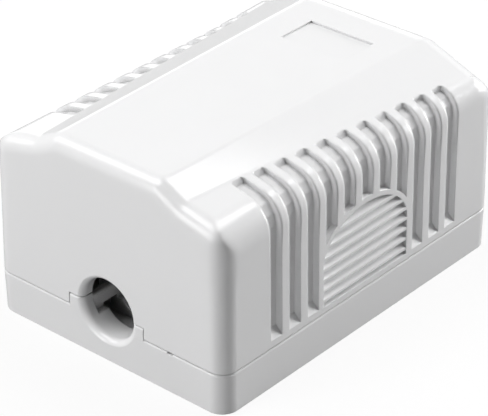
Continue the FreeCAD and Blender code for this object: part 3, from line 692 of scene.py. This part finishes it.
class JACKBOX_OT_board(bpy.types.Operator):
    """Finish the circuit board and add its tracks, printed lines and soldered joints"""
    bl_idname = "jackbox.board"
    bl_label = "Circuit board"
    bl_options = {"REGISTER", "UNDO"}

    def execute(self, context):
        board = context.scene.jackbox_board
        laminate = board_laminate("board_laminate", mask=tuple(board.mask), edge=(0.45, 0.36, 0.16))
        dress(laminate, "circuit_board")
        low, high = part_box("circuit_board")
        self.add_tracks(board, high[2])
        self.add_print(board, high[0], high[2])
        self.add_joints(board, low[2])
        return {"FINISHED"}

    def add_tracks(self, board, board_top):
        colour = [TRACK_LIFT + TRACK_GAIN * part for part in board.mask]
        copper = lacquered_copper("lacquered_copper", colour)
        runs = seed_lines("tracks", track_runs(board_top + TRACK_RISE))
        grown_piece("board_tracks", "flat_lines", runs, copper, "box", "board", Width=board.track_width)

    def add_print(self, board, board_end, board_top):
        """Outlines round the punch-down blocks, and round the jack up to the board's end."""
        ink = moulded_plastic("white_board_print", (0.75, 0.75, 0.72), grain_size=0.2, grain_depth=0.002 * MM,
                              roughness=0.6, edge_radius=0.02 * MM)
        height = board_top + PRINT_RISE
        lines = [outline(name, PRINT_MARGIN, height) for name in BLOCK_NAMES]
        jack = outline("jack_housing", PRINT_MARGIN, height)
        stop = board_end - PRINT_END_GAP
        lines.append([(stop, jack[0][1], height), jack[0], jack[3], (stop, jack[3][1], height)])
        grown_piece("board_print", "flat_lines", seed_lines("print", lines), ink, "box", "board",
                    Width=board.print_width, Thickness=PRINT_THICKNESS)

    def add_joints(self, board, board_bottom):
        solder = plated_metal("solder", colour=(0.72, 0.72, 0.74), tarnish=(0.5, 0.5, 0.52), roughness=0.22)
        joints = [(x, y, board_bottom - JOINT_HEIGHT / 2) for x, y in contact_pins() + clip_pins()]
        grown_piece("solder_joints", "round_marks", seed_points("joints", joints), solder,
                    "box", "clip_metal", Radius=board.joint_radius, Height=JOINT_HEIGHT,
                    Top_Share=JOINT_TOP_SHARE, Tilt=(math.pi, 0, 0), Sides=JOINT_SIDES)


class JACKBOX_OT_connectors(bpy.types.Operator):
    """Finish the jack, its contacts, the punch-down blocks and their clips, and add the wire colour marks"""
    bl_idname = "jackbox.connectors"
    bl_label = "Jack and punch-down blocks"
    bl_options = {"REGISTER", "UNDO"}

    def execute(self, context):
        settings = context.scene.jackbox_connectors
        black = moulded_plastic("black_jack_plastic", settings.jack_colour, grain_size=0.12,
                                grain_depth=0.005 * MM, roughness=0.4, edge_radius=0.1 * MM, IOR=1.5)
        dress(black, "jack_housing")
        gold = plated_metal("gold_plate", colour=(0.9, 0.66, 0.28), tarnish=(0.62, 0.4, 0.16), roughness=0.18)
        dress(gold, *CONTACT_NAMES)
        white = moulded_plastic("white_block_plastic", settings.block_colour, grain_size=0.14,
                                grain_depth=0.005 * MM, roughness=0.38, edge_radius=0.1 * MM, IOR=1.5)
        dress(white, *BLOCK_NAMES)
        tin = plated_metal("tin_plate", colour=(0.75, 0.75, 0.76), tarnish=(0.5, 0.48, 0.45), roughness=0.26)
        dress(tin, *CLIP_NAMES)
        self.add_wire_marks(tuple(settings.mark_size))
        return {"FINISHED"}

    def add_wire_marks(self, size):
        """Two stripes by each clip on its block's outer face: the pair's colour, then that or white."""
        points, colours = [], []
        for index, name in enumerate(CLIP_NAMES):
            on_left = index < len(CLIP_NAMES) // 2
            low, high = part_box(BLOCK_NAMES[0] if on_left else BLOCK_NAMES[1])
            x = middle(name)[0]
            face = high[1] if on_left else low[1]
            base = low[2] + WIRE_MARK_RISE
            colour = WIRE_COLOURS[index // 2]
            points += [(x, face, base + size[2] / 2), (x, face, base + size[2] * 1.5)]
            colours += [colour, WIRE_WHITE if index % 2 else colour]
        grown_piece("wire_colour_marks", "square_marks", seed_points("wire_marks", points, colours),
                    printed_ink("wire_mark_ink"), "box", "idc_plastic", Size=size)


class JACKBOX_OT_stage(bpy.types.Operator):
    """Make the floor, the backdrop, the lamps and the camera"""
    bl_idname = "jackbox.stage"
    bl_label = "Stage"
    bl_options = {"REGISTER", "UNDO"}

    def execute(self, context):
        scene = context.scene
        stage = scene.jackbox_stage
        scene.view_settings.view_transform = "Standard"
        make_camera(scene, stage)
        make_floor()
        make_world(scene, stage)
        make_lamps(stage)
        return {"FINISHED"}


def make_camera(scene, stage):
    """A camera at the stated place, turned by azimuth, elevation and roll."""
    level = math.cos(stage.elevation)
    back = Vector((-math.sin(stage.azimuth) * level, -math.cos(stage.azimuth) * level,
                   math.sin(stage.elevation)))
    right = Vector((0, 0, 1)).cross(back).normalized()
    up = back.cross(right)
    upright = Matrix((right, up, back)).transposed()
    camera = bpy.data.objects.new("camera", bpy.data.cameras.new("camera"))
    camera.data.sensor_width = 36.0
    camera.data.lens = stage.lens
    camera.data.clip_start = 0.01
    camera.location = stage.camera_place
    camera.rotation_mode = "QUATERNION"
    camera.rotation_quaternion = (upright @ Matrix.Rotation(stage.roll, 3, "Z")).to_quaternion()
    scene.collection.objects.link(camera)
    scene.camera = camera


def seen_directly(tree):
    """1 for what the camera sees, straight on or through glass, and 0 for light that bounces."""
    path = tree.nodes.new("ShaderNodeLightPath").outputs
    return maths(tree, "MAXIMUM", path["Is Camera Ray"], path["Is Transmission Ray"])


def make_floor():
    """A pale plain floor that keeps a soft shadow and is clear from below."""
    mesh = bpy.data.meshes.new("floor")
    corners = [(x * FLOOR_HALF, y * FLOOR_HALF, -FLOOR_DROP) for x, y in ((-1, -1), (1, -1), (1, 1), (-1, 1))]
    mesh.from_pydata(corners, [], [(0, 1, 2, 3)])
    floor = bpy.data.objects.new("floor", mesh)
    bpy.context.scene.collection.objects.link(floor)
    material, tree, shader, place = new_material("floor_paper", Roughness=0.9)
    seen = seen_directly(tree)
    fibre = ramp(tree, noise(tree, place, scale=900.0, roughness=0.6), 0.3, 0.7)
    paper = mixed(tree, fibre, (0.9, 0.9, 0.9, 1), (0.92, 0.92, 0.92, 1))
    tree.links.new(mixed(tree, seen, FLOOR_BOUNCE, paper), shader.inputs["Base Color"])
    glow = add_node(tree, "ShaderNodeEmission", {"Color": (1, 1, 1, 1), "Strength": 1.0}).outputs[0]
    path = tree.nodes.new("ShaderNodeLightPath").outputs
    touching = maths(tree, "LESS_THAN", path["Ray Length"], TOUCHING)
    touched = maths(tree, "MULTIPLY", maths(tree, "MULTIPLY", touching, path["Is Diffuse Ray"]), TOUCHED_GLOW)
    share = maths(tree, "MAXIMUM", maths(tree, "MULTIPLY", seen, FLOOR_GLOW), touched)
    front = add_node(tree, "ShaderNodeMixShader", {0: share, 1: shader.outputs[0], 2: glow}).outputs[0]
    behind = tree.nodes.new("ShaderNodeNewGeometry").outputs["Backfacing"]
    clear = tree.nodes.new("ShaderNodeBsdfTransparent").outputs[0]
    surface = add_node(tree, "ShaderNodeMixShader", {0: behind, 1: front, 2: clear}).outputs[0]
    tree.links.new(surface, tree.nodes["Material Output"].inputs["Surface"])
    mesh.materials.append(material)


def make_world(scene, stage):
    """White where the camera sees it, greyer in reflections, and a low even light on the object."""
    world = bpy.data.worlds.new("studio")
    scene.world = world
    world.use_nodes = True
    tree = world.node_tree
    path = tree.nodes.new("ShaderNodeLightPath").outputs
    mirrored = ramp(tree, path["Is Glossy Ray"], 0.0, 1.0, stage.room_light, stage.mirrored_room)
    strength = maths(tree, "MAXIMUM", seen_directly(tree), mirrored)
    background = tree.nodes["Background"]
    background.inputs["Color"].default_value = (1, 1, 1, 1)
    tree.links.new(strength, background.inputs["Strength"])


def towards(azimuth, elevation):
    """A direction from the box, with azimuth 0 along -Y and 90 along +X."""
    around, up = math.radians(azimuth), math.radians(elevation)
    return Vector((math.sin(around) * math.cos(up), -math.cos(around) * math.cos(up), math.sin(up)))


def add_lamp(name, away, size, power):
    """A soft rectangular lamp that faces the middle of the box."""
    lamp = bpy.data.lights.new(name, "AREA")
    lamp.shape = "RECTANGLE"
    lamp.size, lamp.size_y = size
    lamp.energy = power
    made = bpy.data.objects.new(name, lamp)
    made.location = LAMP_TARGET + away * LAMP_DISTANCE
    made.rotation_mode = "QUATERNION"
    made.rotation_quaternion = away.to_track_quat("Z", "Y")
    bpy.context.scene.collection.objects.link(made)


def make_lamps(stage):
    for name, (direction, size) in LAMPS.items():
        add_lamp(name, towards(*direction), size, getattr(stage, name))


# ---- panel and registration ----

class JACKBOX_PT_panel(bpy.types.Panel):
    """Lists the steps that finish the jack box"""
    bl_label = "Jack box"
    bl_idname = "JACKBOX_PT_panel"
    bl_space_type = "VIEW_3D"
    bl_region_type = "UI"
    bl_category = "Jack box"

    def draw(self, context):
        for settings in SETTINGS:
            group = getattr(context.scene, settings)
            box = self.layout.box()
            for prop in group.bl_rna.properties:
                if prop.identifier not in ("rna_type", "name"):
                    box.prop(group, prop.identifier)
        for operator in OPERATORS:
            self.layout.operator(operator.bl_idname)


SETTINGS = {"jackbox_shell": ShellSettings, "jackbox_marks": MouldMarkSettings,
            "jackbox_board": BoardSettings, "jackbox_connectors": ConnectorSettings,
            "jackbox_stage": StageSettings}
OPERATORS = (JACKBOX_OT_shells, JACKBOX_OT_mould_marks, JACKBOX_OT_board, JACKBOX_OT_connectors,
             JACKBOX_OT_stage)


def register():
    for name, settings in SETTINGS.items():
        bpy.utils.register_class(settings)
        setattr(bpy.types.Scene, name, PointerProperty(type=settings))
    for cls in (*OPERATORS, JACKBOX_PT_panel):
        bpy.utils.register_class(cls)


def unregister():
    for cls in (JACKBOX_PT_panel, *reversed(OPERATORS)):
        bpy.utils.unregister_class(cls)
    for name, settings in reversed(SETTINGS.items()):
        delattr(bpy.types.Scene, name)
        bpy.utils.unregister_class(settings)


def main():
    register()
    make_shared_effects()
    make_geometry_trees()
    bpy.ops.jackbox.shells()
    bpy.ops.jackbox.mould_marks()
    bpy.ops.jackbox.board()
    bpy.ops.jackbox.connectors()
    bpy.ops.jackbox.stage()


if __name__ == "__main__":
    main()
